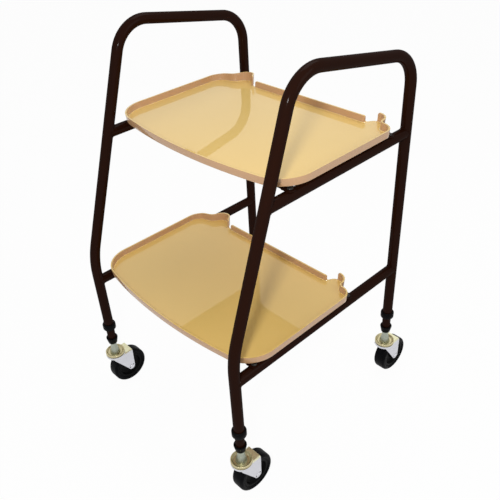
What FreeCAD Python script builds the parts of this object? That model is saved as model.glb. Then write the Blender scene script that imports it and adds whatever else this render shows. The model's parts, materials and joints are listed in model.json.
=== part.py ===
import FreeCAD, Part
import math
import os
import re

import Sketcher

# Serving trolley: two bent tube hoops joined by cross bars, two moulded trays that lift off the bars,
# and a telescopic leg with a swivel caster at each of the four corners.
# X runs across, the bowed tray edges face -Y, Z is up from the floor.

os.makedirs("parts", exist_ok=True)
doc = FreeCAD.newDocument("serving_trolley")
sheet = doc.addObject("Spreadsheet::Sheet", "dim")
Vector = FreeCAD.Vector

# Driving sizes in millimetres.
SIZES = {
    # hoops and rails
    "tube_diameter": 22,
    "tube_wall": 1.2,
    "hoop_spacing": 449.2,
    "base_depth": 475.6,
    "front_lean": 164,
    "front_bend_height": 376,
    "front_top_height": 851.4,
    "rear_top_height": 793.6,
    "leg_bend_radius": 220,
    "top_bend_radius": 68,
    "lower_rail_height": 317.2,
    "upper_rail_height": 642.7,
    "weld_gap": 0.1,
    # cross bars and their fasteners
    "bar_diameter": 13,
    "bar_wall": 1.25,
    "pad_thickness": 2.5,
    "pad_width": 19,
    "pad_reach": 12,
    "pad_taper": 20,
    "front_bar_setback": 47,
    "rear_bar_inset": 4,
    "bolt_diameter": 6,
    "bolt_play": 0.2,
    "bolt_head_diameter": 11,
    "bolt_head_height": 3.3,
    "bolt_tail": 1.5,
    "nut_width": 10,
    "nut_height": 5,
    "thread_gap": 0.05,
    # trays
    "tray_width": 480,
    "tray_shortfall": 154.6,
    "tray_floor": 1.8,
    "tray_seat_gap": 0.3,
    "rim_height": 15.5,
    "tray_flare": 1,
    "tray_edge": 1.2,
    "rim_wall": 3.1,
    "foot_round": 1.6,
    "outline_join": 0.05,
    "bow_radius": 1080,
    "front_corner_radius": 68,
    "upper_tray_setback": 50.8,
    "lower_tray_setback": 152.2,
    "left_holder_height": 24.4,
    "left_corner_radius": 35,
    "left_corner_drop": 8.5,
    "left_dip_radius": 21.7,
    "left_lobe_radius": 23.6,
    "left_lobe_inset": 70.3,
    "left_lobe_reach": 19.7,
    "left_gap_inset": 98,
    "left_gap_width": 9,
    "right_holder_height": 20.2,
    "right_corner_radius": 23.3,
    "right_corner_drop": 8.9,
    "right_dip_radius": 7.6,
    "right_lobe_radius": 20.8,
    "right_lobe_inset": 53.5,
    "right_lobe_reach": 20.8,
    "right_gap_inset": 58.5,
    "right_gap_width": 17,
    "gap_corner_radius": 8,
    "gap_end_round": 4,
    "gap_foot_round": 4,
    "gap_depth": 20,
    "rib_wall": 3,
    "rib_depth": 14,
    "rib_gap": 1,
    # telescopic legs
    "leg_tube_diameter": 19,
    "leg_tube_wall": 1.2,
    "leg_exposed": 27,
    "stop_drop": 72.9,
    "stop_length": 12,
    "stop_fit": 0.1,
    "slide_gap": 0.3,
    "collar_diameter": 30,
    "collar_height": 17,
    "collar_lip": 2.4,
    "collar_edge": 3.2,
    "collar_fit": 0.08,
    "tube_recess": 9.3,
    "grip_wall": 1,
    "grip_split": 8,
    # casters
    "wheel_radius": 44,
    "wheel_width": 30,
    "wheel_play": 1.3,
    "trail": 26,
    "tyre_shoulder": 6.5,
    "tyre_fit": 0.05,
    "core_radius": 33.5,
    "core_width": 26,
    "core_rim": 5,
    "web_width": 12,
    "hub_radius": 10,
    "hub_play": 0.5,
    "axle_radius": 3.5,
    "axle_fit": 0.08,
    "rivet_radius": 4.8,
    "rivet_height": 1.3,
    "fork_clearance": 3,
    "fork_plate": 2.5,
    "fork_sheet": 2.2,
    "fork_bend": 4,
    "cheek_front": 15,
    "cheek_back": 10,
    "cheek_drop": 1.5,
    "cheek_radius": 9,
    "race_diameter": 45,
    "race_height": 6.4,
    "race_sheet": 1.8,
    "race_crest": 2.5,
    "race_slope": 3.4,
    "ring_wall": 4,
    "ring_gap": 1.2,
    "ball_diameter": 4,
    "ball_circle": 32,
    "ball_play": 0.1,
    "king_radius": 5,
    "king_fit": 0.08,
    "king_head_radius": 8,
    "king_head_height": 3.6,
    "neck_radius": 7.3,
    "neck_length": 27.5,
    "neck_flare_radius": 12,
    "neck_flare_height": 20,
    "spigot_length": 30,
    "part_gap": 0.2,
    "socket_top_radius": 13.25,
    "socket_low_radius": 10.1,
    "socket_height": 17.2,
    "socket_floor": 6.5,
    "socket_rim": 2.5,
    "sleeve_length": 37,
    # how far cutting shapes run past what they cut
    "overrun": 40,
}
BALL_COUNT = 12
SLANT_SHARE = 0.7          # where the slanting cheek edge leaves its round end
EDGE_SHARE = 0.3           # how far the middle of a rounded edge stands in from its corner
CHAMFER_SHARE = 0.4        # the chamfer under the race, of its crest
KING_FLAT_SHARE = 0.75     # the flat face of the king pin's head, of its radius
RIVET_FLAT_SHARE = 0.7     # the flat face of a rivet head, of its radius
RIVET_EDGE_SHARE = 0.4     # the upright edge of a rivet head, of its height
GAP_FOOT_SHARE = 0.45      # the most of a rim gap's width that each rounded foot may take
SHOULDER_ANGLES = (0, 22.5, 45, 67.5, 90)
# The dome of a bolt head: share of its radius, share of its height.
DOME_SHARES = ((0.92, 0.4), (0.7, 0.75), (0.38, 0.95))
# How the tray's inner wall runs into its floor: share of the foot inset, share of the foot height.
FOOT_SHARES = ((1, 0), (0.62, 0.08), (0.29, 0.29), (0.08, 0.62), (0, 1))
DIAGONAL = math.sqrt(0.5)

for row, (alias, number) in enumerate(SIZES.items(), start=1):
    sheet.set(f"A{row}", alias)
    sheet.set(f"B{row}", str(number))
    sheet.setAlias(f"B{row}", alias)
doc.recompute()

SIDES = {"left": "-hoop_spacing / 2", "right": "hoop_spacing / 2"}
# The floor point under the middle of the whole trolley is the origin, casters trailing to the rear.
MIDDLE = "(trail + wheel_radius - race_diameter / 2) / 2"
ENDS = {"front": f"-base_depth / 2 - {MIDDLE}", "rear": f"base_depth / 2 - {MIDDLE}"}
CORNERS = [(end, side) for end in ENDS for side in SIDES]

# Heights above the floor, stacked from the wheel up to the end of the hoop tube.
PLATE_LOW = "2 * wheel_radius + fork_clearance"
PLATE_TOP = f"{PLATE_LOW} + fork_plate"
RACE_LOW = f"{PLATE_TOP} + ball_diameter + 2 * ball_play"
DISH_TOP = f"{RACE_LOW} + race_sheet"
RACE_TOP = f"{RACE_LOW} + race_height"
SOCKET_LOW = f"{RACE_TOP} + neck_length"
SOCKET_TOP = f"{SOCKET_LOW} + socket_height"
LEG_LOW = f"{SOCKET_LOW} + socket_floor"
COLLAR_LOW = f"{SOCKET_TOP} + leg_exposed"
TUBE_END = f"{COLLAR_LOW} + tube_recess"
COLLAR_TOP = f"{COLLAR_LOW} + collar_height"
LEG_TOP = "front_bend_height - stop_drop"
FORK_HALF = "wheel_width / 2 + wheel_play + fork_sheet"

TRAYS = {
    "upper": {"rail": "upper_rail_height", "rear": f"{ENDS['rear']} - upper_tray_setback"},
    "lower": {"rail": "lower_rail_height", "rear": f"{ENDS['rear']} - lower_tray_setback"},
}
TRAY_DEPTH = "(base_depth - tray_shortfall)"
BAR_LINES = {"front": f"front_bar_setback - {TRAY_DEPTH}", "rear": "-rear_bar_inset"}
BAR_RISE = "tube_diameter / 2 + pad_thickness / 2"
UNDERSIDE = f"{BAR_RISE} + bar_diameter / 2 + tray_seat_gap"
# The nuts are captive inside the rails: their upper corners touch the wall of the tube.
NUT_CORNER = "nut_width / 3^0.5"
NUT_TOP = f"((tube_diameter / 2 - tube_wall)^2 - ({NUT_CORNER})^2)^0.5 - thread_gap"

TO_X = FreeCAD.Rotation(Vector(1, 1, 1), 120)
TO_Y = FreeCAD.Rotation(Vector(0, 0, 1), Vector(0, 1, 0))
finished = []


def value(text):
    """The number that an expression of size names works out to."""
    return float(sheet.evalExpression(text))


def linked(text):
    """The expression with every size name pointed at the sheet."""
    return re.sub(r"[a-z]\w*", lambda name: "dim." + name.group(), text)


def place(obj, x="0", y="0", z="0"):
    for axis, text in (("x", x), ("y", y), ("z", z)):
        obj.setExpression("Placement.Base." + axis, linked(text))
    return obj


def keep(obj, label):
    """Marks an object as a finished piece of the trolley."""
    obj.Label = label
    finished.append(obj)
    return obj


def solid(kind, name, turn=None, at=("0", "0", "0"), **sizes):
    """A primitive with its sizes and position bound to the sheet."""
    obj = doc.addObject(kind, name)
    if turn is not None:
        obj.Placement = FreeCAD.Placement(Vector(), turn)
    for prop, text in sizes.items():
        obj.setExpression(prop, linked(text))
    return place(obj, *at)


def joined(name, pieces):
    whole = doc.addObject("Part::MultiFuse", name)
    whole.Shapes = pieces
    return whole


def cut(name, base, tool):
    result = doc.addObject("Part::Cut", name)
    result.Base = base
    result.Tool = tool
    return result


def flat_sketch(body, role, name):
    """An empty sketch on one of the body's own origin planes."""
    sketch = body.newObject("Sketcher::SketchObject", f"{body.Name}_{name}")
    plane = next(feature for feature in body.Origin.OriginFeatures if feature.Role == role)
    sketch.AttachmentSupport = [(plane, "")]
    sketch.MapMode = "FlatFace"
    return sketch


def bind_point(sketch, geometry, position, point, texts):
    """Holds a point of a sketch at coordinates given by two expressions."""
    for kind, number, text in zip(("DistanceX", "DistanceY"), (point.x, point.y), texts):
        index = sketch.addConstraint(Sketcher.Constraint(kind, geometry, position, number))
        sketch.setExpression(f"Constraints[{index}]", linked(text))


def polygon(body, role, name, corners):
    """A closed sketch of straight edges with each corner bound to the sheet."""
    sketch = flat_sketch(body, role, name)
    points = [Vector(value(across), value(up), 0) for across, up in corners]
    count = len(points)
    for i in range(count):
        sketch.addGeometry(Part.LineSegment(points[i], points[(i + 1) % count]))
    for i in range(count):
        sketch.addConstraint(Sketcher.Constraint("Coincident", i, 2, (i + 1) % count, 1))
    for i, texts in enumerate(corners):
        bind_point(sketch, i, 1, points[i], texts)
    return sketch


def circles(body, role, name, centre, radii):
    """A sketch of circles round one centre, bound to the sheet."""
    sketch = flat_sketch(body, role, name)
    point = Vector(value(centre[0]), value(centre[1]), 0)
    for i, text in enumerate(radii):
        sketch.addGeometry(Part.Circle(point, Vector(0, 0, 1), value(text)))
        index = sketch.addConstraint(Sketcher.Constraint("Radius", i, value(text)))
        sketch.setExpression(f"Constraints[{index}]", linked(text))
        bind_point(sketch, i, 3, point, centre)
    return sketch


def turned(label, profile, spin="z", split=None):
    """A body turned about its Z or X axis from (radius, distance along the axis) corners."""
    body = doc.addObject("PartDesign::Body", label)
    if spin == "z":
        sketch = polygon(body, "XZ_Plane", "profile", profile)
    else:
        sketch = polygon(body, "XY_Plane", "profile", [(along, radius) for radius, along in profile])
    turn = body.newObject("PartDesign::Revolution", label + "_turn")
    turn.Profile = sketch
    turn.ReferenceAxis = (sketch, ["V_Axis" if spin == "z" else "H_Axis"])
    if split:
        turn.setExpression("Angle", "360 - " + linked(split))
    return body


def both_ways(body, kind, name, sketch, length=None):
    """A pad of a given length, or a cut through everything, to both sides of its sketch."""
    feature = body.newObject(kind, f"{body.Name}_{name}")
    feature.Profile = sketch
    feature.SideType = "Symmetric"
    if length:
        feature.setExpression("Length", linked(length))
    else:
        feature.Type = "ThroughAll"
    return feature


def rounded_path(points, radii):
    """Straight lines through the points with the inner corners rounded, as curves end to end."""
    curves = []
    start = points[0]
    for before, corner, after, radius in zip(points, points[1:], points[2:], radii):
        inward = (before - corner).normalize()
        onward = (after - corner).normalize()
        half = inward.getAngle(onward) / 2
        trim = radius / math.tan(half)
        middle = corner + (inward + onward).normalize() * (radius / math.sin(half) - radius)
        curves.append(Part.LineSegment(start, corner + inward * trim))
        curves.append(Part.Arc(corner + inward * trim, middle, corner + onward * trim))
        start = corner + onward * trim
    curves.append(Part.LineSegment(start, points[-1]))
    return curves


def hoop(side):
    """One bent tube: front leg, handle sloping down to the rear, rear leg."""
    body = doc.addObject("PartDesign::Body", side + "_hoop")
    front = value(ENDS["front"])
    rear = value(ENDS["rear"])
    foot = value(TUBE_END)
    points = [Vector(front, foot, 0),
              Vector(front, value("front_bend_height"), 0),
              Vector(front + value("front_lean"), value("front_top_height"), 0),
              Vector(rear, value("rear_top_height"), 0),
              Vector(rear, foot, 0)]
    radii = [value(text) for text in ("leg_bend_radius", "top_bend_radius", "top_bend_radius")]
    spine = flat_sketch(body, "YZ_Plane", "spine")
    spine.addGeometry(rounded_path(points, radii))
    for name, kind, radius in (("tube", "PartDesign::AdditivePipe", "tube_diameter / 2"),
                               ("bore", "PartDesign::SubtractivePipe", "tube_diameter / 2 - tube_wall")):
        ring = circles(body, "XY_Plane", name + "_ring", ("0", ENDS["front"]), [radius])
        ring.setExpression("AttachmentOffset.Base.z", linked(TUBE_END))
        pipe = body.newObject(kind, f"{body.Name}_{name}")
        pipe.Profile = ring
        pipe.Spine = (spine, [])
    keep(place(body, SIDES[side]), body.Name)


def rail(level, side):
    """A straight tube fitted between the legs of a hoop, drilled for the cross bar bolts."""
    name = f"{level}_{side}_rail"
    tray = TRAYS[level]
    height = tray["rail"]
    lean = Vector(0, value("front_lean"), value("front_top_height - front_bend_height"))
    front = ENDS["front"]
    leg = FreeCAD.Rotation()
    if value(f"{height} - front_bend_height") > 0:
        front = (f"{ENDS['front']} + front_lean * ({height} - front_bend_height)"
                 " / (front_top_height - front_bend_height)")
        leg = FreeCAD.Rotation(Vector(0, 0, 1), lean)
    back = leg.multVec(Vector(0, 0, -1))
    x = SIDES[side]
    tube = solid("Part::Cylinder", name + "_tube", TO_Y, (x, front, height),
                 Radius="tube_diameter / 2", Height=f"{ENDS['rear']} - ({front})")
    tools = [
        solid("Part::Cylinder", name + "_bore", TO_Y, (x, front, height),
              Radius="tube_diameter / 2 - tube_wall", Height=f"{ENDS['rear']} - ({front})"),
        solid("Part::Cylinder", name + "_front_mouth", leg,
              (x, f"{front} + overrun * {back.y:.6f}", f"{height} + overrun * {back.z:.6f}"),
              Radius="tube_diameter / 2 + weld_gap", Height="2 * overrun"),
        solid("Part::Cylinder", name + "_rear_mouth", None, (x, ENDS["rear"], f"{height} - overrun"),
              Radius="tube_diameter / 2 + weld_gap", Height="2 * overrun"),
    ]
    # the bolts go through the upper wall only
    for end, line in BAR_LINES.items():
        tools.append(solid("Part::Cylinder", f"{name}_{end}_hole", None,
                           (x, f"{tray['rear']} + {line}", height),
                           Radius="bolt_diameter / 2 + bolt_play", Height="overrun"))
    keep(cut(name, tube, joined(name + "_cutter", tools)), name)


def cross_bar(level, end):
    """A tube whose ends are squeezed flat, lie on the rails and are drilled for a bolt."""
    name = f"{level}_{end}_bar"
    y = f"{TRAYS[level]['rear']} + {BAR_LINES[end]}"
    z = f"{TRAYS[level]['rail']} + {BAR_RISE}"
    half = "hoop_spacing / 2 - pad_reach - pad_taper"
    pieces = [solid("Part::Cylinder", name + "_tube", TO_X, (f"-({half})", y, z),
                    Radius="bar_diameter / 2", Height=f"2 * ({half})")]
    tools = [solid("Part::Cylinder", name + "_bore", TO_X, (f"-({half})", y, z),
                   Radius="bar_diameter / 2 - bar_wall", Height=f"2 * ({half})")]
    for side, x in SIDES.items():
        sign = "-" if side == "left" else ""
        tag = f"{name}_{side}"
        round_end = solid("Part::Circle", tag + "_round", TO_X, (f"{sign}({half})", y, z),
                          Radius="bar_diameter / 2")
        flat_end = solid("Part::Ellipse", tag + "_flat", TO_X, (f"{sign}({half} + pad_taper)", y, z),
                         MajorRadius="pad_width / 2", MinorRadius="pad_thickness / 2")
        taper = doc.addObject("Part::Loft", tag + "_taper")
        taper.Sections = [round_end, flat_end]
        taper.Solid = True
        low = f"{z} - pad_thickness / 2"
        start = x if side == "left" else "hoop_spacing / 2 - pad_reach"
        pieces += [
            taper,
            solid("Part::Box", tag + "_pad", None, (start, f"{y} - pad_width / 2", low),
                  Length="pad_reach", Width="pad_width", Height="pad_thickness"),
            solid("Part::Cylinder", tag + "_tip", None, (x, y, low),
                  Radius="pad_width / 2", Height="pad_thickness"),
        ]
        tools.append(solid("Part::Cylinder", tag + "_hole", None, (x, y, f"{z} - overrun"),
                           Radius="bolt_diameter / 2 + bolt_play", Height="2 * overrun"))
    keep(cut(name, joined(name + "_whole", pieces), joined(name + "_cutter", tools)), name)


def group(label, members):
    """Identical pieces, each a separate solid, under one name."""
    compound = doc.addObject("Part::Compound", label)
    compound.Links = members
    return keep(compound, label)


def fasteners():
    """A domed bolt and a captive hexagon nut at each end of each cross bar."""
    head = f"{BAR_RISE} + pad_thickness / 2"
    profile = [("0", f"{NUT_TOP} - nut_height - bolt_tail"),
               ("bolt_diameter / 2", f"{NUT_TOP} - nut_height - bolt_tail"),
               ("bolt_diameter / 2", head),
               ("bolt_head_diameter / 2", head)]
    profile += [(f"bolt_head_diameter / 2 * {out}", f"{head} + bolt_head_height * {up}")
                for out, up in DOME_SHARES]
    profile.append(("0", f"{head} + bolt_head_height"))
    bolts = []
    nuts = []
    for level, tray in TRAYS.items():
        for end, line in BAR_LINES.items():
            for side, x in SIDES.items():
                tag = f"{level}_{end}_{side}"
                y = f"{tray['rear']} + {line}"
                bolts.append(place(turned(tag + "_bolt", profile), x, y, tray["rail"]))
                low = f"{tray['rail']} + {NUT_TOP} - nut_height"
                blank = solid("Part::Prism", tag + "_nut_blank", None, (x, y, low),
                              Circumradius=NUT_CORNER, Height="nut_height")
                hole = solid("Part::Cylinder", tag + "_nut_hole", None, (x, y, f"{low} - overrun"),
                             Radius="bolt_diameter / 2 + thread_gap", Height="2 * overrun")
                nuts.append(cut(tag + "_nut", blank, hole))
    group("cross_bar_bolts", bolts)
    group("cross_bar_nuts", nuts)


def meeting_point(first, first_distance, second, second_distance, outward):
    """The point at two given distances from two centres, on the side that outward points to."""
    apart = second - first
    along = (first_distance ** 2 - second_distance ** 2 + apart.Length ** 2) / (2 * apart.Length)
    off = math.sqrt(first_distance ** 2 - along ** 2)
    unit = apart / apart.Length
    normal = Vector(-unit.y, unit.x, 0)
    if normal.dot(outward) < 0:
        normal = -normal
    return first + unit * along + normal * off


def holder_plan(side):
    """Arc centres and radii of the wavy stick holder at one rear corner of a tray."""
    sign = -1 if side == "left" else 1
    half = value("tray_width / 2")

    def own(word):
        return value(f"{side}_{word}")
    corner = Vector(sign * (half - own("corner_radius")), -own("corner_drop") - own("corner_radius"), 0)
    lobe = Vector(sign * (half - own("lobe_inset")), own("lobe_reach") - own("lobe_radius"), 0)
    dip = meeting_point(corner, own("corner_radius") + own("dip_radius"),
                        lobe, own("lobe_radius") + own("dip_radius"), Vector(sign, 1, 0))
    gap_radius = value("gap_corner_radius")
    across = math.sqrt((own("lobe_radius") + gap_radius) ** 2 - (gap_radius - lobe.y) ** 2)
    gap = Vector(lobe.x - sign * across, gap_radius, 0)
    return [(corner, own("corner_radius"), True), (dip, own("dip_radius"), False),
            (lobe, own("lobe_radius"), True), (gap, gap_radius, False)]


def heading(start, end):
    return math.atan2(end.y - start.y, end.x - start.x)


def tray_plan():
    """The tray's outline at rim height as arcs in order, seen from above, rear edge on Y zero."""
    half = value("tray_width / 2")
    bow_radius = value("bow_radius")
    corner_radius = value("front_corner_radius")
    bow = Vector(0, bow_radius - value(TRAY_DEPTH), 0)
    drop = math.sqrt((bow_radius - corner_radius) ** 2 - (half - corner_radius) ** 2)
    left = Vector(corner_radius - half, bow.y - drop, 0)
    right = Vector(half - corner_radius, bow.y - drop, 0)
    arcs = [(bow, bow_radius, True, heading(bow, left), heading(bow, right)),
            (right, corner_radius, True, heading(bow, right), 0)]
    wave = holder_plan("right")
    back = holder_plan("left")[::-1]
    for chain, first, last in ((wave, 0, -math.pi / 2), (back, -math.pi / 2, math.pi)):
        for i, (centre, radius, convex) in enumerate(chain):
            begin = heading(centre, chain[i - 1][0]) if i > 0 else first
            end = heading(centre, chain[i + 1][0]) if i + 1 < len(chain) else last
            arcs.append((centre, radius, convex, begin, end))
    arcs.append((left, corner_radius, True, math.pi, heading(bow, left)))
    return arcs


def outline(inset, level):
    """The tray's outline drawn in by an inset, as a closed wire at a level above its underside."""
    edges = []
    last = None
    for centre, radius, convex, begin, end in tray_plan():
        size = radius - inset if convex else radius + inset
        sweep = (end - begin) % (2 * math.pi) if convex else -((begin - end) % (2 * math.pi))
        points = [centre + Vector(math.cos(a), math.sin(a), 0) * size + Vector(0, 0, level)
                  for a in (begin, begin + sweep / 2, begin + sweep)]
        if last is not None and last.distanceToPoint(points[0]) > value("outline_join"):
            edges.append(Part.makeLine(last, points[0]))
        edges.append(Part.Arc(*points).toShape())
        last = points[2]
    return Part.Wire(edges)


def prism(points, direction):
    """A flat outline of straight edges pushed along a direction."""
    return Part.Face(Part.makePolygon(points + points[:1])).extrude(direction)


def block(low, high):
    size = high - low
    return Part.makeBox(size.x, size.y, size.z, low)


def gap_cutter(side):
    """Takes the wall out between the end of the rear rim and the free end of a holder."""
    sign = -1 if side == "left" else 1
    free = sign * value(f"tray_width / 2 - {side}_gap_inset")
    rim = free - sign * value(f"{side}_gap_width")
    round_by = value("gap_end_round")
    foot_by = min(value("gap_foot_round"), abs(free - rim) * GAP_FOOT_SHARE)
    floor = value("tray_floor")
    free_height = value(f"{side}_holder_height")
    top = free_height + value("overrun")
    edges = []
    corners = []
    for x, away, height in ((rim, -sign, value("rim_height")), (free, sign, free_height)):
        toe = Vector(x - away * foot_by, 0, floor)
        heel = toe + Vector(away * DIAGONAL, 0, 1 - DIAGONAL) * foot_by
        ankle = Vector(x, 0, floor + foot_by)
        shoulder = Vector(x, 0, height - round_by)
        bow = shoulder + Vector(away * (1 - DIAGONAL), 0, DIAGONAL) * round_by
        crest = Vector(x + away * round_by, 0, height)
        head = Vector(crest.x, 0, top)
        edges += [Part.Arc(toe, heel, ankle).toShape(), Part.makeLine(ankle, shoulder),
                  Part.Arc(shoulder, bow, crest).toShape(), Part.makeLine(crest, head)]
        corners += [toe, head]
    edges += [Part.makeLine(corners[0], corners[2]), Part.makeLine(corners[1], corners[3])]
    face = Part.Face(Part.Wire(Part.__sortEdges__(edges)))
    face.translate(Vector(0, -value("gap_depth"), 0))
    return face.extrude(Vector(0, value("gap_depth + overrun"), 0))


def tray_shape():
    """One moulded tray with its underside on Z zero and its rear rim line on Y zero."""
    flare = value("tray_flare / rim_height")
    heights = {side: value(side + "_holder_height") for side in SIDES}
    edge = value("tray_edge")
    top = max(heights.values()) + edge
    floor = value("tray_floor")
    foot = value("foot_round")
    wall = value("rim_wall")
    overrun = value("overrun")
    half = value("tray_width / 2")
    depth = value(TRAY_DEPTH)

    def outer_inset(level):
        return value("tray_flare") - flare * level
    outer = Part.makeLoft([outline(outer_inset(0) + edge, 0), outline(outer_inset(edge), edge),
                           outline(outer_inset(top), top)], True, True)
    sections = [outline(outer_inset(floor) + wall + foot * inward, floor + foot * up)
                for inward, up in FOOT_SHARES]
    sections.append(outline(outer_inset(top) + wall, top))
    tray = outer.cut(Part.makeLoft(sections, True, True))

    # the rim is level, and each holder rises from it at the side wall up to its free end
    rim = value("rim_height")
    line = -max(value(f"{side}_corner_drop + {side}_corner_radius") for side in SIDES)
    above = block(Vector(-half - overrun, -depth - overrun, rim),
                  Vector(half + overrun, line, top + overrun))
    ends = {"left": value("left_gap_inset") - half, "right": half - value("right_gap_inset")}
    slopes = [(-half - overrun, top + overrun), (-half - overrun, rim), (wall - half, rim),
              (ends["left"], heights["left"]), (ends["left"], rim),
              (ends["right"], rim), (ends["right"], heights["right"]),
              (half - wall, rim), (half + overrun, rim), (half + overrun, top + overrun)]
    over = prism([Vector(x, line, z) for x, z in slopes], Vector(0, overrun - line, 0))
    tray = tray.cut([above, over, gap_cutter("left"), gap_cutter("right")])

    # two ribs under the floor, one against each cross bar, keep the tray from sliding
    reach = value("hoop_spacing / 2 - pad_reach - pad_taper - rib_gap")
    beside = value("bar_diameter / 2 + rib_gap / 2")
    thick = value("rib_wall")
    front = value(BAR_LINES["front"]) + beside
    rear = value(BAR_LINES["rear"]) - beside - thick
    ribs = [block(Vector(-reach, y, -value("rib_depth")), Vector(reach, y + thick, floor / 2))
            for y in (front, rear)]
    return tray.fuse(ribs).removeSplitter()


def trays():
    shape = tray_shape()
    for level, tray in TRAYS.items():
        obj = doc.addObject("Part::Feature", level + "_tray")
        obj.Shape = shape.Solids[0]
        keep(place(obj, "0", tray["rear"], f"{tray['rail']} + {UNDERSIDE}"), obj.Name)


def fork(tag):
    """A pressed steel fork: round top plate with a raised ring, and two cheeks down to the axle."""
    body = doc.addObject("PartDesign::Body", tag + "_caster_fork")
    width = f"2 * ({FORK_HALF})"
    slant = f"cheek_radius * {SLANT_SHARE}"
    cheek = polygon(body, "YZ_Plane", "cheek", [
        ("-cheek_front", PLATE_TOP),
        ("trail + cheek_back", PLATE_TOP),
        ("trail + cheek_radius", "wheel_radius"),
        (f"trail - {slant}", f"wheel_radius - {slant}"),
        ("-cheek_front", f"{PLATE_LOW} - cheek_drop")])
    cheeks = both_ways(body, "PartDesign::Pad", "cheeks", cheek, width)
    doc.recompute()
    # the sheet is bent round where the top plate runs down into the cheeks
    boxes = [edge.BoundBox for edge in cheeks.Shape.Edges]
    bends = [f"Edge{i}" for i, box in enumerate(boxes, start=1)
             if box.ZMin > value(PLATE_LOW) and box.YLength > box.XLength]
    bend = body.newObject("PartDesign::Fillet", body.Name + "_bend")
    bend.Base = (cheeks, bends)
    bend.setExpression("Radius", linked("fork_bend"))
    tip = circles(body, "YZ_Plane", "tip", ("trail", "wheel_radius"), ["cheek_radius"])
    both_ways(body, "PartDesign::Pad", "tips", tip, width)
    slot = polygon(body, "XZ_Plane", "slot", [
        ("-wheel_width / 2 - wheel_play", "0"),
        ("wheel_width / 2 + wheel_play", "0"),
        ("wheel_width / 2 + wheel_play", PLATE_LOW),
        ("-wheel_width / 2 - wheel_play", PLATE_LOW)])
    both_ways(body, "PartDesign::Pocket", "wheel_slot", slot)
    crown = polygon(body, "XZ_Plane", "crown", [
        ("king_radius + king_fit", PLATE_LOW),
        ("race_diameter / 2", PLATE_LOW),
        ("race_diameter / 2", f"{RACE_LOW} - ring_gap"),
        ("race_diameter / 2 - ring_wall", f"{RACE_LOW} - ring_gap"),
        ("race_diameter / 2 - ring_wall", PLATE_TOP),
        ("king_radius + king_fit", PLATE_TOP)])
    ring = body.newObject("PartDesign::Revolution", body.Name + "_ring")
    ring.Profile = crown
    ring.ReferenceAxis = (crown, ["V_Axis"])
    king = circles(body, "XY_Plane", "king", ("0", "0"), ["king_radius + king_fit"])
    both_ways(body, "PartDesign::Pocket", "king_hole", king)
    axle = circles(body, "YZ_Plane", "axle", ("trail", "wheel_radius"), ["axle_radius + axle_fit"])
    both_ways(body, "PartDesign::Pocket", "axle_hole", axle)
    return body


def mirrored(profile):
    """A half profile and its mirror image along the turning axis."""
    return profile + [(radius, f"-({along})") for radius, along in profile[::-1]]


def shoulder(angle):
    """A corner of the tyre's rounded shoulder."""
    rise = math.sin(math.radians(angle))
    run = math.cos(math.radians(angle))
    return (f"wheel_radius - tyre_shoulder * {1 - rise:.6f}",
            f"wheel_width / 2 - tyre_shoulder * {1 - run:.6f}")


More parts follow.
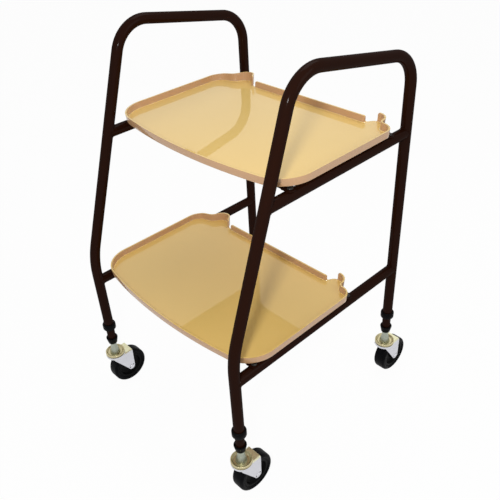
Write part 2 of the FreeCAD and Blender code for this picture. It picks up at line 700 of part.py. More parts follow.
def leg_end(end, side):
    """Everything below the end of one hoop tube: collar, sliding tube, socket and caster."""
    tag = f"{end}_{side}"
    x = SIDES[side]
    y = ENDS[end]
    loose = "leg_tube_diameter / 2 + slide_gap"
    bore = "tube_diameter / 2 + collar_fit"
    sleeve = "leg_tube_diameter / 2 - leg_tube_wall - thread_gap"
    collar_in = f"collar_edge * {EDGE_SHARE}"
    chamfer = f"race_crest * {CHAMFER_SHARE}"
    crest_in = f"race_crest / 2 * {EDGE_SHARE}"
    upright = {
        "twist_collar": [
            (loose, COLLAR_LOW),
            ("collar_diameter / 2 - collar_edge", COLLAR_LOW),
            (f"collar_diameter / 2 - {collar_in}", f"{COLLAR_LOW} + {collar_in}"),
            ("collar_diameter / 2", f"{COLLAR_LOW} + collar_edge"),
            ("collar_diameter / 2", f"{COLLAR_TOP} - collar_edge"),
            (f"collar_diameter / 2 - {collar_in}", f"{COLLAR_TOP} - {collar_in}"),
            ("collar_diameter / 2 - collar_edge", COLLAR_TOP),
            (bore, COLLAR_TOP),
            (bore, f"{COLLAR_LOW} + collar_lip"),
            (loose, f"{COLLAR_LOW} + collar_lip")],
        "grip_ring": [
            (loose, f"{COLLAR_LOW} + collar_lip"),
            (f"{loose} + grip_wall", f"{COLLAR_LOW} + collar_lip"),
            (f"{loose} + grip_wall", f"{TUBE_END} - slide_gap"),
            (loose, f"{TUBE_END} - slide_gap")],
        "leg_tube": [
            ("leg_tube_diameter / 2 - leg_tube_wall", LEG_LOW),
            ("leg_tube_diameter / 2", LEG_LOW),
            ("leg_tube_diameter / 2", LEG_TOP),
            ("leg_tube_diameter / 2 - leg_tube_wall", LEG_TOP)],
        "caster_socket": [
            ("king_radius + king_fit", SOCKET_LOW),
            ("socket_low_radius", SOCKET_LOW),
            ("socket_top_radius", f"{SOCKET_TOP} - socket_rim"),
            ("socket_top_radius", SOCKET_TOP),
            ("leg_tube_diameter / 2 + thread_gap", SOCKET_TOP),
            ("leg_tube_diameter / 2 + thread_gap", LEG_LOW),
            (sleeve, LEG_LOW),
            (sleeve, f"{LEG_LOW} + sleeve_length"),
            ("king_radius + king_fit", f"{LEG_LOW} + sleeve_length")],
        "caster_stem": [
            ("0", f"{PLATE_LOW} - part_gap - king_head_height"),
            (f"king_head_radius * {KING_FLAT_SHARE}", f"{PLATE_LOW} - part_gap - king_head_height"),
            ("king_head_radius", f"{PLATE_LOW} - part_gap - king_head_height / 2"),
            ("king_head_radius", f"{PLATE_LOW} - part_gap"),
            ("king_radius", f"{PLATE_LOW} - part_gap"),
            ("king_radius", DISH_TOP),
            ("neck_flare_radius", DISH_TOP),
            ("neck_flare_radius", f"{DISH_TOP} + race_sheet"),
            ("neck_radius", f"{DISH_TOP} + neck_flare_height"),
            ("neck_radius", SOCKET_LOW),
            ("king_radius", SOCKET_LOW),
            ("king_radius", f"{SOCKET_LOW} + spigot_length"),
            ("0", f"{SOCKET_LOW} + spigot_length")],
        "swivel_race": [
            ("king_radius + king_fit", RACE_LOW),
            (f"race_diameter / 2 - {chamfer}", RACE_LOW),
            ("race_diameter / 2", f"{RACE_LOW} + {chamfer}"),
            ("race_diameter / 2", f"{RACE_TOP} - race_crest / 2"),
            (f"race_diameter / 2 - {crest_in}", f"{RACE_TOP} - {crest_in}"),
            ("race_diameter / 2 - race_crest / 2", RACE_TOP),
            (f"race_diameter / 2 - race_crest + {crest_in}", f"{RACE_TOP} - {crest_in}"),
            ("race_diameter / 2 - race_crest", f"{RACE_TOP} - race_crest / 2"),
            ("race_diameter / 2 - race_crest - race_slope", DISH_TOP),
            ("king_radius + king_fit", DISH_TOP)],
    }
    for name, profile in upright.items():
        piece = turned(f"{tag}_{name}", profile, split="grip_split" if name == "grip_ring" else None)
        keep(place(piece, x, y), piece.Name)

    balls = []
    for k in range(BALL_COUNT):
        angle = 2 * math.pi * k / BALL_COUNT
        spot = (f"ball_circle / 2 * {math.cos(angle):.6f}",
                f"ball_circle / 2 * {math.sin(angle):.6f}",
                f"{PLATE_TOP} + ball_diameter / 2 + ball_play")
        balls.append(solid("Part::Sphere", f"{tag}_ball_{k}", None, spot, Radius="ball_diameter / 2"))
    place(group(tag + "_bearing_balls", balls), x, y)

    body = fork(tag)
    keep(place(body, x, y), body.Name)

    half_core = [
        ("axle_radius + axle_fit", "wheel_width / 2 + wheel_play - hub_play"),
        ("hub_radius", "wheel_width / 2 + wheel_play - hub_play"),
        ("hub_radius", "web_width / 2"),
        ("core_radius - core_rim", "web_width / 2"),
        ("core_radius - core_rim", "core_width / 2"),
        ("core_radius", "core_width / 2")]
    half_tyre = [("core_radius + tyre_fit", "core_width / 2")]
    half_tyre += [shoulder(angle) for angle in SHOULDER_ANGLES]
    half_axle = [
        ("0", f"{FORK_HALF} + rivet_height"),
        (f"rivet_radius * {RIVET_FLAT_SHARE}", f"{FORK_HALF} + rivet_height"),
        ("rivet_radius", f"{FORK_HALF} + rivet_height * {RIVET_EDGE_SHARE}"),
        ("rivet_radius", FORK_HALF),
        ("axle_radius", FORK_HALF)]
    for name, profile in (("wheel_axle", half_axle), ("wheel_core", half_core), ("wheel_tyre", half_tyre)):
        piece = turned(f"{tag}_{name}", mirrored(profile), spin="x")
        keep(place(piece, x, f"{y} + trail", "wheel_radius"), piece.Name)


for side in SIDES:
    hoop(side)
for level in TRAYS:
    for side in SIDES:
        rail(level, side)
    for end in BAR_LINES:
        cross_bar(level, end)
fasteners()
trays()
stops = [solid("Part::Cylinder", f"{end}_{side}_stop", None, (SIDES[side], ENDS[end], LEG_TOP),
               Radius="tube_diameter / 2 - tube_wall - stop_fit", Height="stop_length")
         for end, side in CORNERS]
group("leg_stop_plugs", stops)
for end, side in CORNERS:
    leg_end(end, side)
doc.recompute()

faults = [obj.Name for obj in doc.Objects if {"Invalid", "Error"} & set(obj.State)]
if faults:
    raise RuntimeError("not worked out: " + ", ".join(faults))
for obj in finished:
    if obj.Shape.isNull() or not obj.Shape.isValid():
        raise RuntimeError("bad shape: " + obj.Label)
for obj in finished:
    obj.Shape.exportStep(f"parts/{obj.Label}.step")
    box = obj.Shape.BoundBox
    print(f"{obj.Label}: {len(obj.Shape.Solids)} solid(s), {obj.Shape.Volume / 1000:.1f} cm3, "
          f"{box.XLength:.1f} x {box.YLength:.1f} x {box.ZLength:.1f} mm")
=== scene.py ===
# %% [markdown]
# # A serving trolley, dressed for its portrait
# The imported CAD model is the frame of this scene: every tube, tray and caster is already in its place,
# in metres. This lesson gives the pieces soft edges, turns rounder wheels, lays weld beads where the
# rails meet the hoops, and mixes a finish for each surface.

# %% Load the frame
import bpy
import bmesh
import json
import math
from mathutils import Matrix, Vector

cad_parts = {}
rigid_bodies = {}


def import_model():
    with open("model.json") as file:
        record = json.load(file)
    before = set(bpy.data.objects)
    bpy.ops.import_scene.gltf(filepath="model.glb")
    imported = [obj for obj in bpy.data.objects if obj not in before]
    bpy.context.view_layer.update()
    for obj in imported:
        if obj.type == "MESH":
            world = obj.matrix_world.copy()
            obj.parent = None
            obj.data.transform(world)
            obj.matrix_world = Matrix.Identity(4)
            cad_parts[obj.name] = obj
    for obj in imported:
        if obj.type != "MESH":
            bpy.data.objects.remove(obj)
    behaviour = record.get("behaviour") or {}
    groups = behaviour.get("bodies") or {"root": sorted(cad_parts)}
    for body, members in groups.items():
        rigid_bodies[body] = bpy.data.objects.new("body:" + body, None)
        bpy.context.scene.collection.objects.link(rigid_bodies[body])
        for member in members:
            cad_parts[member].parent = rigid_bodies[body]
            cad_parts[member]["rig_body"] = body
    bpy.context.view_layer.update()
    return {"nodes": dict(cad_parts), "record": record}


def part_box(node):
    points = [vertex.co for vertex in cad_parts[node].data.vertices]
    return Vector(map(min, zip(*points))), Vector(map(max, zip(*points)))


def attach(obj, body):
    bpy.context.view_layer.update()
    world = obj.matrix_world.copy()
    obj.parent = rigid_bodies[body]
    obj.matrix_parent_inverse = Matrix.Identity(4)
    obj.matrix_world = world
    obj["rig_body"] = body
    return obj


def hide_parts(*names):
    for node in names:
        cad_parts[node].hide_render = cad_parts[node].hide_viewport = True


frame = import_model()
nodes = frame["nodes"]
scene = bpy.context.scene
scene.view_settings.view_transform = "Standard"
corners = [f"{end}_{side}" for end in ("front", "rear") for side in ("left", "right")]

# %% [markdown]
# ## Camera
# The camera was found by matching the straight tubes of the photograph to lines in space. Its place is
# fixed by a point, three angles and a focal length, so it is written down as those and turned into a
# matrix: right, up and backward are the three columns. A track-to constraint would be shorter, but it
# can't hold the slight roll of the picture.

# %% Camera
CAMERA_PLACE = (0.84136, -0.76257, 1.1621)
YAW, PITCH, ROLL = 0.8369, 0.6084, 0.0573
FOCAL_LENGTH, SENSOR_WIDTH = 45.24, 36
NEAR_CLIP, FAR_CLIP = 0.05, 60

forward = Vector((-math.sin(YAW) * math.cos(PITCH), math.cos(YAW) * math.cos(PITCH), -math.sin(PITCH)))
level_right = Vector((math.cos(YAW), math.sin(YAW), 0))
level_down = forward.cross(level_right)
right = math.cos(ROLL) * level_right + math.sin(ROLL) * level_down
down = -math.sin(ROLL) * level_right + math.cos(ROLL) * level_down
turn = Matrix((right, -down, -forward)).transposed().to_4x4()
camera = bpy.data.objects.new("camera", bpy.data.cameras.new("camera"))
scene.collection.objects.link(camera)
camera.matrix_world = Matrix.Translation(CAMERA_PLACE) @ turn
camera.data.lens = FOCAL_LENGTH
camera.data.sensor_width = SENSOR_WIDTH
camera.data.clip_start, camera.data.clip_end = NEAR_CLIP, FAR_CLIP
scene.camera = camera
print("camera looks along", [round(c, 3) for c in forward])

# %% [markdown]
# ## Writing shader maths as Python
# A finish is easier to read as an expression than as a web of nodes. This small class wraps the output
# socket of a node. Adding, subtracting or multiplying adds a Math node, and `node` makes any other node
# from its type, its settings and its inputs.


# %% Node maths
class Wire:
    """An output socket of a node tree that can be used in sums."""

    def __init__(self, tree, socket=None):
        self.tree = tree
        self.socket = socket

    def node(self, kind, settings=None, out=0, **inputs):
        """A new node and its output; an input called _6 is the one with number 6."""
        made = self.tree.nodes.new("ShaderNode" + kind)
        for name, setting in (settings or {}).items():
            if name == "stops":
                for element, (at, shade) in zip(made.color_ramp.elements, setting):
                    element.position = at
                    element.color = (*shade, 1)
            else:
                setattr(made, name, setting)
        for name, value in inputs.items():
            key = int(name[1:]) if name[0] == "_" else name.replace("_", " ")
            self.feed(made.inputs[key], value)
        return Wire(self.tree, made.outputs[out])

    def feed(self, socket, value):
        """Links a wire to a socket, or sets the socket to a plain value."""
        if isinstance(value, Wire):
            self.tree.links.new(value.socket, socket)
        else:
            socket.default_value = value

    def maths(self, operation, *values):
        made = self.tree.nodes.new("ShaderNodeMath")
        made.operation = operation
        for socket, value in zip(made.inputs, values):
            self.feed(socket, value)
        return Wire(self.tree, made.outputs[0])

    def __add__(self, other):
        return self.maths("ADD", self, other)

    __radd__ = __add__

    def __mul__(self, other):
        return self.maths("MULTIPLY", self, other)

    __rmul__ = __mul__

    def __sub__(self, other):
        return self.maths("SUBTRACT", self, other)

    def __rsub__(self, other):
        return self.maths("SUBTRACT", other, self)

    def clamped(self):
        return self.maths("MINIMUM", self.maths("MAXIMUM", self, 0.0), 1.0)


print("Wire adds, subtracts and multiplies sockets")

# %% [markdown]
# ## Words for finishes
# Most finishes here are built from the same few things: a cloud or a grain of noise, a colour between two
# tones, a shallow relief, and values for the shader's inputs. Each gets a short function, so that a finish
# below reads like a recipe. All patterns lie in Object coordinates, which are metres on every piece.


# %% Words for finishes
def new_finish(name):
    """An empty material: its node helper, its shader and the place of each point in metres."""
    material = bpy.data.materials.new(name)
    material.use_nodes = True
    tree = material.node_tree
    shader = next(n for n in tree.nodes if n.type == "BSDF_PRINCIPLED")
    make = Wire(tree)
    return material, make, shader, make.node("TexCoord", out="Object")


def set_shader(make, shader, **values):
    """Feeds inputs of the shader by their names, with wires or with plain values."""
    for name, value in values.items():
        make.feed(shader.inputs[name.replace("_", " ")], value)


def noise(make, where, scale, detail=3.0, rough=0.5):
    return make.node("TexNoise", Vector=where, Scale=scale, Detail=detail, Roughness=rough)


def stretched(make, where, scale):
    """Coordinates squeezed along the axes, for grain that runs one way."""
    return make.node("Mapping", Vector=where, Scale=scale)


def patches(make, pattern, start, full):
    """A mask that rises from black to white between two values of a pattern."""
    return make.node("ValToRGB", {"stops": [(start, (0, 0, 0)), (full, (1, 1, 1))]}, Fac=pattern)


def tint(make, amount, low, high):
    """A colour between two, by an amount from 0 to 1."""
    return make.node("Mix", {"data_type": "RGBA"}, out=2, _0=amount, _6=(*low, 1), _7=(*high, 1))


def upward_mix(make, side_colour, top_colour):
    """One colour on upright faces and another on faces that look up, by the attribute facing_up."""
    share = make.node("Attribute", {"attribute_name": "facing_up"}, out="Fac")
    return make.node("Mix", {"data_type": "RGBA"}, out=2, _0=share, _6=side_colour, _7=top_colour)


def relief(make, shader, height, depth, strength):
    make.feed(shader.inputs["Normal"],
              make.node("Bump", Height=height, Distance=depth, Strength=strength))


def tell(material):
    print(material.name, "has", len(material.node_tree.nodes), "nodes")


print("finish helpers ready")

# %% [markdown]
# ## White world
# The picture is a catalogue cut-out, white all round. The world looks white to the camera and in
# reflections, through the Light Path node, while the light that falls on the trolley stays at a plain
# level, so colours come out about as they are written.


# %% White world
AMBIENT = 0.4
WHITE = (1, 1, 1, 1)


def plainly_seen(make):
    """1 for rays that come from the camera, off gloss or through glass, otherwise 0."""
    rays = [make.node("LightPath", out=f"Is {kind} Ray") for kind in ("Camera", "Glossy", "Transmission")]
    return (rays[0] + rays[1] + rays[2]).clamped()


world = bpy.data.worlds.new("studio")
scene.world = world
world.use_nodes = True
sky = Wire(world.node_tree)
backdrop = world.node_tree.nodes["Background"]
sky.feed(backdrop.inputs["Strength"], plainly_seen(sky) * (1 - AMBIENT) + AMBIENT)
sky.feed(backdrop.inputs["Color"], WHITE)
print("ambient light", AMBIENT)

# %% [markdown]
# ## Paper floor
# The floor looks white in the same way as the world. It is not all glow: a small share of it is plain
# paper, which keeps the trolley's shadow.


# %% Paper floor
FLOOR_HALF, PAPER_SHADE, PAPER_ROUGHNESS, GLOW_SHARE = 6, 0.9, 0.9, 0.96


def object_from(bm, name):
    """The finished bmesh as an object at the origin."""
    mesh = bpy.data.meshes.new(name)
    bm.to_mesh(mesh)
    bm.free()
    obj = bpy.data.objects.new(name, mesh)
    scene.collection.objects.link(obj)
    return obj


bm = bmesh.new()
bmesh.ops.create_grid(bm, x_segments=2, y_segments=2, size=FLOOR_HALF)
floor = object_from(bm, "studio_floor")
paper, make, shader, _ = new_finish("white_paper")
set_shader(make, shader, Base_Color=(PAPER_SHADE, PAPER_SHADE, PAPER_SHADE, 1), Roughness=PAPER_ROUGHNESS)
glow = make.node("Emission", Color=WHITE, Strength=1.0)
surface = make.node("MixShader", _0=plainly_seen(make) * GLOW_SHARE,
                    _1=Wire(make.tree, shader.outputs[0]), _2=glow)
output = next(n for n in paper.node_tree.nodes if n.type == "OUTPUT_MATERIAL")
make.feed(output.inputs["Surface"], surface)
floor.data.materials.append(paper)
tell(paper)

# %% [markdown]
# ## Soft boxes
# Soft light comes from above. A small soft box just left of the camera stands for the photographer's flash:
# it draws a bright line along the near tubes and throws the near leg's shadow on the trays. A weak box
# fills from the right.


# %% Soft boxes
def soft_box(name, place, target, size, power):
    lamp = bpy.data.objects.new(name, bpy.data.lights.new(name, "AREA"))
    scene.collection.objects.link(lamp)
    lamp.location = place
    lamp.rotation_mode = "QUATERNION"
    lamp.rotation_quaternion = (Vector(target) - Vector(place)).to_track_quat("-Z", "Y")
    lamp.data.shape = "RECTANGLE"
    lamp.data.size, lamp.data.size_y = size
    lamp.data.energy = power
    # a lamp behind the trolley would eat into the edges of its tubes in the other views
    lamp.visible_camera = False


soft_box("top_box", place=(-0.3, 0.8, 2.6), target=(0, 0, 0.5), size=(1.4, 1.4), power=15.5)
soft_box("key_box", place=(0.72, -0.84, 1.2), target=(0, 0, 0.45), size=(0.12, 0.12), power=8)
soft_box("fill_box", place=(2.0, 0.6, 1.5), target=(0, 0, 0.5), size=(1.0, 1.2), power=5)
print(len(bpy.data.lights), "soft boxes")

# %% [markdown]
# ## Brown coating
# The tubes are dipped in a dark brown gloss coating. Up close such a coating is not flat: it has a faint
# orange-peel ripple, small changes of tone, and dull hand marks. Noise at three scales gives those. The
# gloss is a thin clear coat over a dull body, because a plain specular layer would mirror the white room
# in full along every edge that is seen at a slant, and make the tubes grey.

# %% Brown coating
COATING_TONES = ((0.012, 0.0034, 0.0015), (0.022, 0.0062, 0.0029))

coating, make, shader, where = new_finish("brown_gloss_coating")
cloud = noise(make, where, scale=9.0, detail=4.0)
speck = noise(make, where, scale=260.0, detail=2.0)
peel = noise(make, where, scale=420.0, detail=1.0)
set_shader(make, shader,
           Base_Color=tint(make, cloud * 0.7 + speck * 0.3, *COATING_TONES),
           Roughness=cloud * 0.12 + speck * 0.05 + 0.3,
           Coat_Weight=0.12 - cloud * 0.06 - speck * 0.03,
           Coat_Roughness=0.12,
           Specular_IOR_Level=0.0)
relief(make, shader, peel, depth=0.0002, strength=0.12)
tell(coating)

# %% [markdown]
# ## Beige moulding
# The trays are golden beige plastic with a skin so glossy that the floor mirrors the handle and the rear
# leg: where it mirrors the white room it looks pale, where it mirrors a tube its own gold shows. That is
# a coat: a clear layer over a duller body. The upright rims look a darker, rosier brown than the floor
# because less light falls on them, so they get darker tones of their own, which are painted shade. A few
# scuffs, where things were slid about, are stretched noise that thins the coat.

# %% Beige moulding
# the rim tones are painted shade: darker, rosier copies of the floor's gold for the upright faces
TRAY_RIM_SHADE_TONES = ((0.51, 0.295, 0.145), (0.57, 0.33, 0.17))
TRAY_FLOOR_TONES = ((0.80, 0.545, 0.155), (0.86, 0.59, 0.185))
SCUFF_STRETCH = (60.0, 420.0, 60.0)

beige, make, shader, where = new_finish("beige_gloss_moulding")
cloud = noise(make, where, scale=5.0)
skin = noise(make, where, scale=900.0, detail=2.0)
scuffs = noise(make, stretched(make, where, SCUFF_STRETCH), scale=1.0, detail=4.0, rough=0.7)
scuffed = patches(make, scuffs, start=0.56, full=0.74)
shaded_rim_colour = tint(make, cloud, *TRAY_RIM_SHADE_TONES)
floor_colour = tint(make, cloud, *TRAY_FLOOR_TONES)
set_shader(make, shader,
           # upright faces get the painted shade of the rims, faces that look up get the floor's own gold
           Base_Color=upward_mix(make, shaded_rim_colour, floor_colour),
           Roughness=cloud * 0.08 + skin * 0.05 + 0.36,
           Coat_Weight=1.0 - scuffed * 0.12,
           Coat_Roughness=0.03,
           Specular_IOR_Level=0.2)
relief(make, shader, skin, depth=0.0001, strength=0.1)
tell(beige)

# %% [markdown]
# ## Black mouldings
# Collars, sockets and wheel cores are satin black plastic with a fine spark-eroded grain. The grain is
# a fine Voronoi pattern as bump; a slow cloud keeps the black from looking painted on.

# %% Black mouldings
BLACK_TONES = ((0.002, 0.002, 0.0024), (0.005, 0.0047, 0.0048))

black, make, shader, where = new_finish("satin_black_moulding")
cloud = noise(make, where, scale=40.0)
grain = make.node("TexVoronoi", Vector=where, Scale=1600.0)
set_shader(make, shader, Base_Color=tint(make, cloud, *BLACK_TONES), Roughness=cloud * 0.16 + 0.36,
           Specular_IOR_Level=0.04)
relief(make, shader, grain, depth=0.0001, strength=0.2)
tell(black)

# %% [markdown]
# ## Tyre rubber
# Household casters have plain black rubber treads that pick up a little grey dust. Dust lies in patches,
# so a noise mask lightens and dulls the rubber here and there.

# %% Tyre rubber
RUBBER_TONES = ((0.002, 0.002, 0.0028), (0.006, 0.006, 0.0075))

rubber, make, shader, where = new_finish("caster_rubber")
dusty = patches(make, noise(make, where, scale=70.0, detail=5.0, rough=0.6), start=0.5, full=0.8)
grain = noise(make, where, scale=1500.0, detail=2.0)
set_shader(make, shader, Base_Color=tint(make, dusty, *RUBBER_TONES),
           Roughness=dusty * 0.2 + grain * 0.06 + 0.4, Specular_IOR_Level=0.04)
relief(make, shader, grain, depth=0.0001, strength=0.25)
tell(rubber)

# %% [markdown]
# ## Zinc plate
# Races, stems and forks are pressed steel with a zinc finish. Races and the tops of the forks have a straw
# yellow sheen, lighter on the forks, stems are grey and axles pale. The fork's sides, where the sheet bends
# down, get pale tones that are a painted reflection of the white floor. All these finishes are one recipe
# with other tones: the tint wanders, which a slow noise gives, and rolling marks run one way. Which faces of
# a fork or a tray look up is stored on its mesh later, as `facing_up`.

# %% Zinc plate
STRAW = ((0.45, 0.39, 0.21), (0.60, 0.54, 0.35))
LIGHT_STRAW = ((0.60, 0.58, 0.37), (0.74, 0.72, 0.52))
GREY = ((0.30, 0.33, 0.27), (0.46, 0.49, 0.42))
# PALE is the axles' own tone, and on the fork's sides a painted reflection of the white floor
PALE = ((0.58, 0.58, 0.62), (0.70, 0.70, 0.74))
ROLLING_STRETCH = (300.0, 300.0, 2400.0)


def zinc_plate(name, tones, painted_reflection_tones=None):
    """Zinc plated steel; a second pair of tones, a painted reflection, is for the sides that don't face
    upwards.
    """
    plate, make, shader, where = new_finish(name)
    wander = noise(make, where, scale=55.0, rough=0.6)
    rolled = noise(make, stretched(make, where, ROLLING_STRETCH), scale=1.0)
    colour = tint(make, wander, *tones)
    if painted_reflection_tones:
        colour = upward_mix(make, tint(make, wander, *painted_reflection_tones), colour)
    set_shader(make, shader, Base_Color=colour, Roughness=rolled * 0.16 + wander * 0.12 + 0.26,
               Metallic=1.0)
    relief(make, shader, rolled, depth=0.0001, strength=0.1)
    tell(plate)
    return plate


straw_zinc = zinc_plate("straw_zinc_plate", STRAW)
grey_zinc = zinc_plate("grey_zinc_plate", GREY)
pale_zinc = zinc_plate("pale_zinc_plate", PALE)
# the fork's pale sides are a painted reflection of the white floor
fork_zinc_painted_reflection = zinc_plate("fork_zinc_painted_reflection_plate", LIGHT_STRAW, PALE)

# %% [markdown]
# ## Small hidden finishes
# Bolts are blacked steel, the grip rings are natural nylon and the balls polished steel. They hardly
# show, but each still gets a little variation, so that a close view from below holds up.


# %% Fasteners, nylon and balls
def clouded(name, scale, tones, roughness, spread, metallic=0.0, detail=3.0):
    """A plain finish whose tone and roughness drift with one cloud of noise."""
    material, make, shader, where = new_finish(name)
    cloud = noise(make, where, scale, detail)
    set_shader(make, shader, Base_Color=tint(make, cloud, *tones), Roughness=cloud * spread + roughness,
               Metallic=metallic)
    tell(material)
    return material


blacked = clouded("blacked_steel", scale=300.0, tones=((0.012, 0.011, 0.010), (0.035, 0.031, 0.028)),
                  roughness=0.28, spread=0.2, metallic=0.6)
nylon = clouded("natural_nylon", scale=120.0, tones=((0.70, 0.68, 0.62), (0.80, 0.78, 0.73)),
                roughness=0.35, spread=0.1)
polished = clouded("polished_ball_steel", scale=500.0, tones=((0.55, 0.55, 0.57), (0.66, 0.66, 0.68)),
                   roughness=0.08, spread=0.08, metallic=1.0, detail=2.0)

# %% [markdown]
# ## Who wears what
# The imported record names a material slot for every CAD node. A table from slot to finish dresses them all,
# and the few pieces whose zinc has another tone are named apart.

# %% Who wears what
finishes = {"frame_coating": coating, "beige_plastic": beige, "black_plastic": black, "nylon": nylon,
            "black_fastener": blacked, "zinc": grey_zinc, "bearing_steel": polished,
            "wheel_plastic": black, "tyre_rubber": rubber}
own_finishes = {"caster_fork": fork_zinc_painted_reflection, "swivel_race": straw_zinc, "wheel_axle": pale_zinc}
slot_of = {part["node"]: part["material_slot"] for part in frame["record"]["subparts"]}
print(len(finishes), "slots for", len(slot_of), "nodes")

# %% [markdown]
# ## Soft edges
# CAD edges are knife sharp, and a sharp edge never catches light. Each piece is copied, its loose
# triangles are merged, flat areas are joined into single faces, and the edges that still turn sharply
# get a small bevel. A bevel modifier would do the same, but here the flat areas have to be joined first.


# %% Soft-edged copies
CREASE_ANGLE, SHARP_ANGLE, FLAT_ANGLE = math.radians(38), math.radians(32), math.radians(0.5)
BIG_FACE = 0.0004  # square metres
MERGE_DISTANCE = 2e-5
FACING_START, FACING_FULL = 0.25, 0.75


def finish_piece(obj, body, finish):
    """Smooth shading with crisp creases, a material, and the body the piece moves with."""
    obj.data.set_sharp_from_angle(angle=CREASE_ANGLE)
    # a big flat face is shaded flat, or its corners would bend what it mirrors
    obj.data.polygons.foreach_set("use_smooth", [face.area < BIG_FACE for face in obj.data.polygons])
    obj.data.materials.clear()
    obj.data.materials.append(finish)
    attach(obj, body)


def sharp_edges(bm):
    return [edge for edge in bm.edges if edge.is_manifold and edge.calc_face_angle() > SHARP_ANGLE]


def rounded(bm, edges, width, segments=2):
    bmesh.ops.bevel(bm, geom=edges, offset=width, offset_type="OFFSET", affect="EDGES", segments=segments,
                    profile=0.5, material=-1, clamp_overlap=True)


def softened(node, width, segments=2, finish=None):
    """A copy of a CAD node with bevelled edges, which stands for it."""
    bm = bmesh.new()
    bm.from_mesh(nodes[node].data)
    bmesh.ops.remove_doubles(bm, verts=bm.verts, dist=MERGE_DISTANCE)
    bmesh.ops.dissolve_limit(bm, angle_limit=FLAT_ANGLE, verts=bm.verts, edges=bm.edges)
    rounded(bm, sharp_edges(bm), width, segments)
    obj = object_from(bm, node + "_soft")
    finish_piece(obj, nodes[node]["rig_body"], finish or finishes[slot_of[node]])
    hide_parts(node)
    return obj


def mark_upward(mesh):
    """Stores how far each face looks up, from 0 to 1, as the attribute facing_up."""
    facing = mesh.attributes.new("facing_up", "FLOAT", "FACE")
    steps = [(face.normal.z - FACING_START) / (FACING_FULL - FACING_START) for face in mesh.polygons]
    shares = [min(max(step, 0.0), 1.0) for step in steps]
    facing.data.foreach_set("value", shares)


print("edges turn sharply from", round(math.degrees(SHARP_ANGLE)), "degrees on")

# %% [markdown]
# ## Casters, bolts and trays
# Pressed steel has tight bends and the trays rounder ones, so each kind of piece has a bevel width of its
# own. Forks and trays also get their `facing_up` marks, which their finishes read to put painted shade on
# the tray rims and a painted reflection on the fork sides.

# %% Casters, bolts and trays
EDGE_WIDTHS = {"twist_collar": 0.0007, "caster_socket": 0.0007, "caster_stem": 0.0005,
               "swivel_race": 0.0006, "caster_fork": 0.0007, "wheel_axle": 0.0005}
FASTENER_EDGE, TRAY_EDGE, TRAY_SEGMENTS = 0.0004, 0.0009, 3

for corner in corners:
    soft = {piece: softened(f"{corner}_{piece}", width, finish=own_finishes.get(piece))
            for piece, width in EDGE_WIDTHS.items()}
    # facing_up puts the fork's painted reflection on its sides
    mark_upward(soft["caster_fork"].data)
for fastener in ("cross_bar_bolts", "cross_bar_nuts"):
    softened(fastener, FASTENER_EDGE)
trays = [softened(f"{level}_tray", TRAY_EDGE, TRAY_SEGMENTS) for level in ("upper", "lower")]
# facing_up puts the painted shade on the tray rims
for tray in trays:
    mark_upward(tray.data)
print("tray faces", [len(tray.data.polygons) for tray in trays])

# %% [markdown]
# ## Wheels
# A caster wheel is turned: a profile spun round the axle. The tyre and the core are each a short ring of
# points, spun with bmesh, and the corners are then rounded by a bevel, wide on the tread's shoulders.


# %% A turned ring
TURN_STEPS, TURN_MERGE, ON_TREAD = 96, 1e-6, 1e-5
WHEEL_EDGE, SHOULDER_SEGMENTS = 0.0006, 7


def spun(name, profile, centre, shoulder=0.0):
    """A closed profile of (radius, distance along the axle) points turned about an X axis."""
    bm = bmesh.new()
    ring = [bm.verts.new(centre + Vector((along, 0, radius))) for radius, along in profile]
    edges = [bm.edges.new((a, b)) for a, b in zip(ring, ring[1:] + ring[:1])]
    bmesh.ops.spin(bm, geom=ring + edges, cent=centre, axis=(1, 0, 0), angle=2 * math.pi,
                   steps=TURN_STEPS, use_merge=True)
    bmesh.ops.remove_doubles(bm, verts=bm.verts, dist=TURN_MERGE)
    bmesh.ops.recalc_face_normals(bm, faces=bm.faces)
    if shoulder:
        widest = max(radius for radius, along in profile)
        tread_edges = [edge for edge in sharp_edges(bm)
                       if all(abs((v.co - centre).yz.length - widest) < ON_TREAD for v in edge.verts)]
        rounded(bm, tread_edges, shoulder, SHOULDER_SEGMENTS)
    rounded(bm, sharp_edges(bm), WHEEL_EDGE)
    return object_from(bm, name)


print("a wheel has", TURN_STEPS, "steps")

# %% [markdown]
# ## Wheel profiles
# The sizes of a wheel come from the boxes of its CAD nodes. Only half of each profile is written down,
# from the inside out: the other half is its mirror image. The core has a hub, a thin web and a rim, and
# the tyre a small lip beside the rim.

# %% Wheel profiles
TYRE_GAP, TYRE_FOOT_INSET = 0.00005, 0.002
LIP_RISE, LIP_INSET, WALL_RISE, SHOULDER = 0.0025, 0.0005, 0.0033, 0.0063
BORE, HUB_RADIUS = 0.0036, 0.0100
HUB_FOOT, WEB = (0.0108, 0.0062), (0.0185, 0.0050)
RIM_FOOT_DROP, RIM_FOOT_HALF = 0.0070, 0.0060
RIM_DROP, RIM_INSET = 0.0052, 0.0022

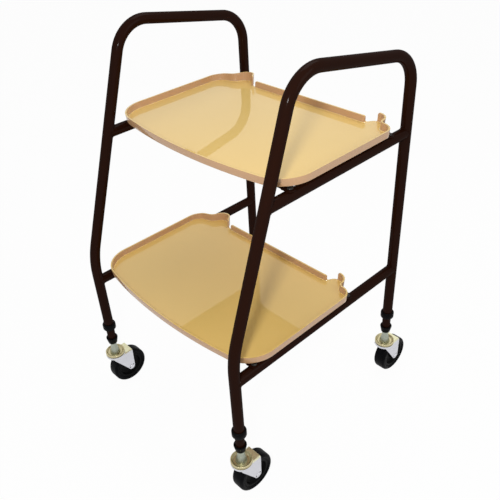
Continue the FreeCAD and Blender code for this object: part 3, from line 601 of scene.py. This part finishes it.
tyre_low, tyre_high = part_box("front_left_wheel_tyre")
core_low, core_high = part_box("front_left_wheel_core")
tread, tyre_side = (tyre_high - tyre_low).z / 2, (tyre_high - tyre_low).x / 2
seat, hub_side = (core_high - core_low).z / 2, (core_high - core_low).x / 2
rim_side = tyre_side - RIM_INSET
tyre_half = [(seat + TYRE_GAP, tyre_side - TYRE_FOOT_INSET), (seat + LIP_RISE, tyre_side - LIP_INSET),
             (seat + WALL_RISE, tyre_side), (tread, tyre_side)]
core_half = [(BORE, hub_side), (HUB_RADIUS, hub_side), HUB_FOOT, WEB,
             (seat - RIM_FOOT_DROP, RIM_FOOT_HALF), (seat - RIM_DROP, rim_side), (seat, rim_side)]
for corner in corners:
    low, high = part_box(f"{corner}_wheel_tyre")
    for piece, half, shoulder in (("wheel_tyre", tyre_half, SHOULDER), ("wheel_core", core_half, 0.0)):
        profile = half + [(radius, -along) for radius, along in half[::-1]]
        node = f"{corner}_{piece}"
        wheel = spun(node + "_turned", profile, (low + high) / 2, shoulder)
        finish_piece(wheel, nodes[node]["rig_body"], finishes[slot_of[node]])
        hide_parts(node)
print("wheels of", round(2 * tread, 4), "m turned")

# %% [markdown]
# ## Painted shade dots
# On the photographed casters two small dark dots flank the axle on each cheek. They are painted shade: the
# shadow at the two sides of the axle's rivet head, drawn as thin dark discs let into the sheet. Cutting
# real holes would give the same picture for far more faces.

# %% Painted shade dots
CHEEK_OUT = 0.0185
MARK_OFFSET = Vector((0, 0.0053, 0.0023))
MARK_RADIUS, MARK_DEPTH, MARK_SEGMENTS = 0.0017, 0.0004, 20
ON_ITS_SIDE = Matrix.Rotation(math.pi / 2, 4, "Y")

for corner in corners:
    axle_low, axle_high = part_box(f"{corner}_wheel_axle")
    axle = (axle_low + axle_high) / 2
    bm = bmesh.new()
    for face in (-1, 1):
        for way in (-1, 1):
            spot = Matrix.Translation(axle + Vector((face * CHEEK_OUT, 0, 0)) + way * MARK_OFFSET)
            bmesh.ops.create_cone(bm, cap_ends=True, segments=MARK_SEGMENTS, radius1=MARK_RADIUS,
                                  radius2=MARK_RADIUS, depth=MARK_DEPTH, matrix=spot @ ON_ITS_SIDE)
    # thin dark discs of painted shade beside the rivet head
    marks = object_from(bm, f"{corner}_painted_shade_dots")
    finish_piece(marks, nodes[f"{corner}_caster_fork"]["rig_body"], blacked)
# the dots counted here are painted shade beside the rivet head
print("painted shade dots on", len(corners), "forks")

# %% [markdown]
# ## Weld beads
# The rails are welded to the hoops all round. Where two tubes of one size meet, the seam runs over the
# leg like a saddle. A closed curve follows that line and a round bevel gives it the thickness of a bead.


# %% A weld bead
TUBE_RADIUS = 0.011
BEAD_RADIUS, BEAD_POINTS, BEAD_RESOLUTION = 0.0011, 64, 3


def weld_bead(name, crossing, toward, lean):
    """A bead round a rail where it meets a leg; toward is the rail's side of the leg along Y."""
    curve = bpy.data.curves.new(name + "_line", "CURVE")
    curve.dimensions = "3D"
    curve.bevel_depth = BEAD_RADIUS
    curve.bevel_resolution = BEAD_RESOLUTION
    spline = curve.splines.new("POLY")
    spline.points.add(BEAD_POINTS - 1)
    spline.use_cyclic_u = True
    leg = lean.normalized()
    for k, point in enumerate(spline.points):
        x = TUBE_RADIUS * math.cos(2 * math.pi * k / BEAD_POINTS)
        z = TUBE_RADIUS * math.sin(2 * math.pi * k / BEAD_POINTS)
        reach = math.sqrt(max(TUBE_RADIUS ** 2 - x ** 2, 0.0))
        y = (toward * reach + z * leg.y) / leg.z
        point.co = (*(crossing + Vector((x, y, z))), 1)
    line = bpy.data.objects.new(name + "_line", curve)
    scene.collection.objects.link(line)
    bpy.context.view_layer.update()
    mesh = bpy.data.meshes.new_from_object(line.evaluated_get(bpy.context.evaluated_depsgraph_get()))
    bpy.data.objects.remove(line)
    bead = bpy.data.objects.new(name, mesh)
    scene.collection.objects.link(bead)
    finish_piece(bead, "frame", coating)


print("beads of", 2 * BEAD_RADIUS, "m")

# %% [markdown]
# ## Where the rails meet the legs
# Each rail ends at a front leg and a rear leg of its hoop. The rear legs and the lower part of the front
# legs are upright. Above its bend a front leg leans to the rear, so the upper rails meet it further back.

# %% Where the rails meet the legs
UPRIGHT, LEAN, BEND_HEIGHT = Vector((0, 0, 1)), Vector((0, 0.164, 0.4754)), 0.376

for level, lean in (("upper", LEAN), ("lower", UPRIGHT)):
    for side in ("left", "right"):
        low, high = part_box(f"{level}_{side}_rail")
        middle = (low + high) / 2
        hoop_low, hoop_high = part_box(f"{side}_hoop")
        front_leg, rear_leg = hoop_low.y + TUBE_RADIUS, hoop_high.y - TUBE_RADIUS
        front_leg += lean.y * (middle.z - BEND_HEIGHT) / lean.z
        weld_bead(f"{level}_{side}_front_weld", Vector((middle.x, front_leg, middle.z)), 1, lean)
        weld_bead(f"{level}_{side}_rear_weld", Vector((middle.x, rear_leg, middle.z)), -1, UPRIGHT)

# %% [markdown]
# ## Dressing the tubes
# Hoops, rails, bars and leg tubes are good as they came, so they keep their CAD meshes and only get a
# finish in place of the plain one. So do the small pieces inside the legs and casters.

# %% Dress the remaining CAD nodes
for node, obj in nodes.items():
    obj.data.materials.clear()
    obj.data.materials.append(finishes[slot_of[node]])
